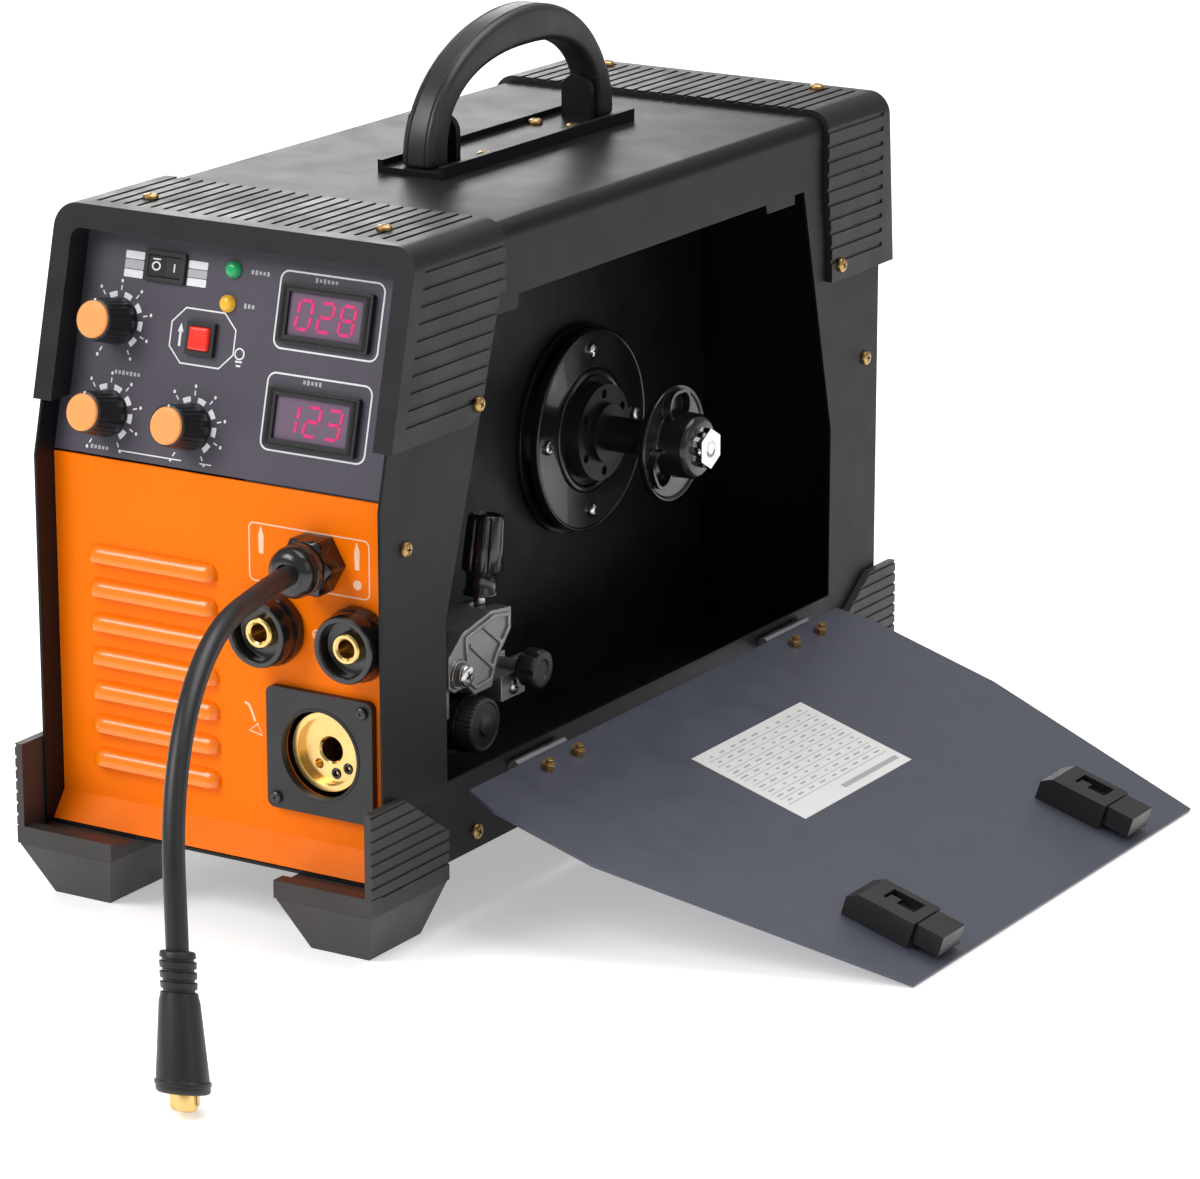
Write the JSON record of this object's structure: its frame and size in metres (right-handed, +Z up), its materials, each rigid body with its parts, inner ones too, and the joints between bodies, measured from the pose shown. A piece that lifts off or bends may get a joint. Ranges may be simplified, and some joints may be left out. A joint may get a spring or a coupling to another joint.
{
  "type": "mig welding machine",
  "caption": "Portable wire-feed welding machine: sheet case with leaning control panel, carry handle, torch and current sockets, and a drop-down side door over a wire feeder and spool holder",
  "frame": {"origin": "on the bench, in the middle of the pad of the front foot on the door side", "axes": "+Z up, -Y toward the control panel, +X toward the side door"},
  "size_m": [0.4458, 0.7572, 0.416],
  "materials": {
    "case_black_paint": "satin fine-texture powder coat",
    "panel_orange_paint": "smooth satin powder coat",
    "fascia_grey_paint": "matt screen-printed plate",
    "surround_plastic": "fine-grained moulding",
    "foot_plastic": "fine-grained moulding",
    "handle_plastic": "satin moulding",
    "yellow_zinc": "yellow-passivated screw head",
    "bright_steel": "zinc plated",
    "chrome_steel": "polished",
    "door_grey_paint": "fine-texture powder coat",
    "hinge_steel": "plain rolled steel",
    "latch_plastic": "satin moulding",
    "chart_paper": "printed adhesive sheet",
    "gloss_black_plastic": "glossy moulding",
    "matte_black_plastic": "satin moulding",
    "knob_plastic": "black skirt with an orange cap",
    "cast_aluminium": "die-cast",
    "motor_steel": "satin",
    "dark_steel": "blackened, knurled",
    "brass": "turned",
    "cable_rubber": "matt jacket",
    "display_window": "tinted window",
    "red_plastic": "glossy moulding",
    "led_lens": "translucent domed lens"
  },
  "bodies": {
    "case": {"base_chassis": "case_black_paint", "cover_shell": "case_black_paint", "divider_wall": "case_black_paint", "front_panel": "panel_orange_paint", "control_fascia": "fascia_grey_paint", "rear_panel": "case_black_paint", "front_bezel": "surround_plastic", "rear_bezel": "surround_plastic", "front_feet": "foot_plastic", "rear_feet": "foot_plastic", "handle_bracket": "case_black_paint", "handle_grip": "handle_plastic", "handle_end_caps": "handle_plastic", "cover_screws": "yellow_zinc", "top_screws": "yellow_zinc", "hinge_frame_leaves": "hinge_steel", "spool_drum": "gloss_black_plastic", "spool_screws": "bright_steel", "spool_shaft": "chrome_steel", "feeder_motor": "motor_steel", "feeder_body": "cast_aluminium", "euro_plate": "matte_black_plastic", "euro_socket": "brass", "dinse_sockets": "gloss_black_plastic", "dinse_inserts": "brass", "cable_gland": "gloss_black_plastic", "polarity_cable": "cable_rubber", "polarity_plug": "cable_rubber", "meter_housings": "matte_black_plastic", "meter_displays": "display_window", "switch_housings": "matte_black_plastic", "panel_leds": "led_lens", "panel_screws": "dark_steel", "fan_frame": "matte_black_plastic", "power_unit": "cast_aluminium", "gas_valve": "brass", "power_cord": "cable_rubber"},
    "door": {"side_door": "door_grey_paint", "hinge_door_leaves": "hinge_steel", "door_screws": "yellow_zinc", "latch_housings": "latch_plastic", "door_chart": "chart_paper"},
    "front_latch": {"front_latch_slide": "latch_plastic"},
    "rear_latch": {"rear_latch_slide": "latch_plastic"},
    "spool_hub_body": {"spool_hub": "matte_black_plastic"},
    "retainer_body": {"spool_retainer": "gloss_black_plastic"},
    "drive_roll_body": {"drive_roll": "dark_steel", "drive_roll_cap": "matte_black_plastic"},
    "pressure_arm_body": {"pressure_arm": "cast_aluminium"},
    "pressure_roll_body": {"pressure_roll": "bright_steel"},
    "tension_rod_body": {"tension_rod": "bright_steel"},
    "tension_knob_body": {"tension_knob": "matte_black_plastic"},
    "clamp_knob_body": {"clamp_knob": "matte_black_plastic"},
    "upper_left_knob_body": {"upper_left_knob": "knob_plastic"},
    "lower_left_knob_body": {"lower_left_knob": "knob_plastic"},
    "lower_right_knob_body": {"lower_right_knob": "knob_plastic"},
    "mode_rocker_body": {"mode_rocker": "matte_black_plastic"},
    "panel_button_body": {"panel_button": "red_plastic"},
    "mains_rocker_body": {"mains_rocker": "red_plastic"},
    "fan_rotor_body": {"fan_rotor": "matte_black_plastic"}
  },
  "joints": [
    {"name": "door_hinge", "type": "hinge", "parent": "case", "child": "door", "pos_m": [0.028, 0.2245, 0.0691], "axis": [0, 1, 0], "range_deg": [-106.85, 0]},
    {"name": "front_latch_slide_joint", "type": "slide", "parent": "door", "child": "front_latch", "axis": [0.9571, 0, -0.2899], "range_m": [0, 0.008]},
    {"name": "rear_latch_slide_joint", "type": "slide", "parent": "door", "child": "rear_latch", "axis": [0.9571, 0, -0.2899], "range_m": [0, 0.008]},
    {"name": "spool_hub_spin", "type": "hinge", "parent": "case", "child": "spool_hub_body", "pos_m": [-0.038, 0.3065, 0.182], "axis": [1, 0, 0], "continuous": true},
    {"name": "retainer_spin", "type": "hinge", "parent": "case", "child": "retainer_body", "pos_m": [-0.003, 0.3065, 0.182], "axis": [1, 0, 0], "continuous": true},
    {"name": "drive_roll_spin", "type": "hinge", "parent": "case", "child": "drive_roll_body", "pos_m": [-0.019, 0.1125, 0.079], "axis": [1, 0, 0], "continuous": true},
    {"name": "tension_rod_swing", "type": "hinge", "parent": "case", "child": "tension_rod_body", "pos_m": [-0.019, 0.128, 0.108], "axis": [-1, 0, 0], "range_deg": [0, 75]},
    {"name": "pressure_arm_lift", "type": "hinge", "parent": "case", "child": "pressure_arm_body", "pos_m": [-0.018, 0.0895, 0.112], "axis": [1, 0, 0], "range_deg": [0, 25]},
    {"name": "pressure_roll_spin", "type": "hinge", "parent": "pressure_arm_body", "child": "pressure_roll_body", "pos_m": [-0.0193, 0.1125, 0.1045], "axis": [1, 0, 0], "continuous": true},
    {"name": "tension_knob_turn", "type": "hinge", "parent": "tension_rod_body", "child": "tension_knob_body", "pos_m": [-0.019, 0.128, 0.108], "axis": [0, 0.1564, 0.9877], "continuous": true},
    {"name": "clamp_knob_turn", "type": "hinge", "parent": "case", "child": "clamp_knob_body", "pos_m": [0.002, 0.1485, 0.101], "axis": [1, 0, 0], "continuous": true},
    {"name": "upper_left_knob_turn", "type": "hinge", "parent": "case", "child": "upper_left_knob_body", "pos_m": [-0.1495, 0.01071, 0.29001], "axis": [0, -0.9703, 0.2419], "range_deg": [-150, 150]},
    {"name": "lower_left_knob_turn", "type": "hinge", "parent": "case", "child": "lower_left_knob_body", "pos_m": [-0.149, -0.0003, 0.24586], "axis": [0, -0.9703, 0.2419], "range_deg": [-150, 150]},
    {"name": "lower_right_knob_turn", "type": "hinge", "parent": "case", "child": "lower_right_knob_body", "pos_m": [-0.0985, -0.0003, 0.24586], "axis": [0, -0.9703, 0.2419], "range_deg": [-150, 150]},
    {"name": "mode_rocker_tilt", "type": "hinge", "parent": "case", "child": "mode_rocker_body", "pos_m": [-0.1244, 0.0193, 0.31827], "axis": [0, 0.2419, 0.9703], "range_deg": [-16, 0]},
    {"name": "panel_button_press", "type": "slide", "parent": "case", "child": "panel_button_body", "axis": [0, 0.9703, -0.2419], "range_m": [0, 0.0025]},
    {"name": "mains_rocker_tilt", "type": "hinge", "parent": "case", "child": "mains_rocker_body", "pos_m": [-0.138, 0.46, 0.285], "axis": [0, 0, 1], "range_deg": [-16, 0]},
    {"name": "fan_spin", "type": "hinge", "parent": "case", "child": "fan_rotor_body", "pos_m": [-0.126, 0.4465, 0.15], "axis": [0, 1, 0], "continuous": true}
  ],
  "couplings": [
    {"joint": "pressure_arm_lift", "follows": "tension_rod_swing", "ratio": 0.33333},
    {"joint": "pressure_roll_spin", "follows": "drive_roll_spin", "ratio": -1.5789}
  ]
}
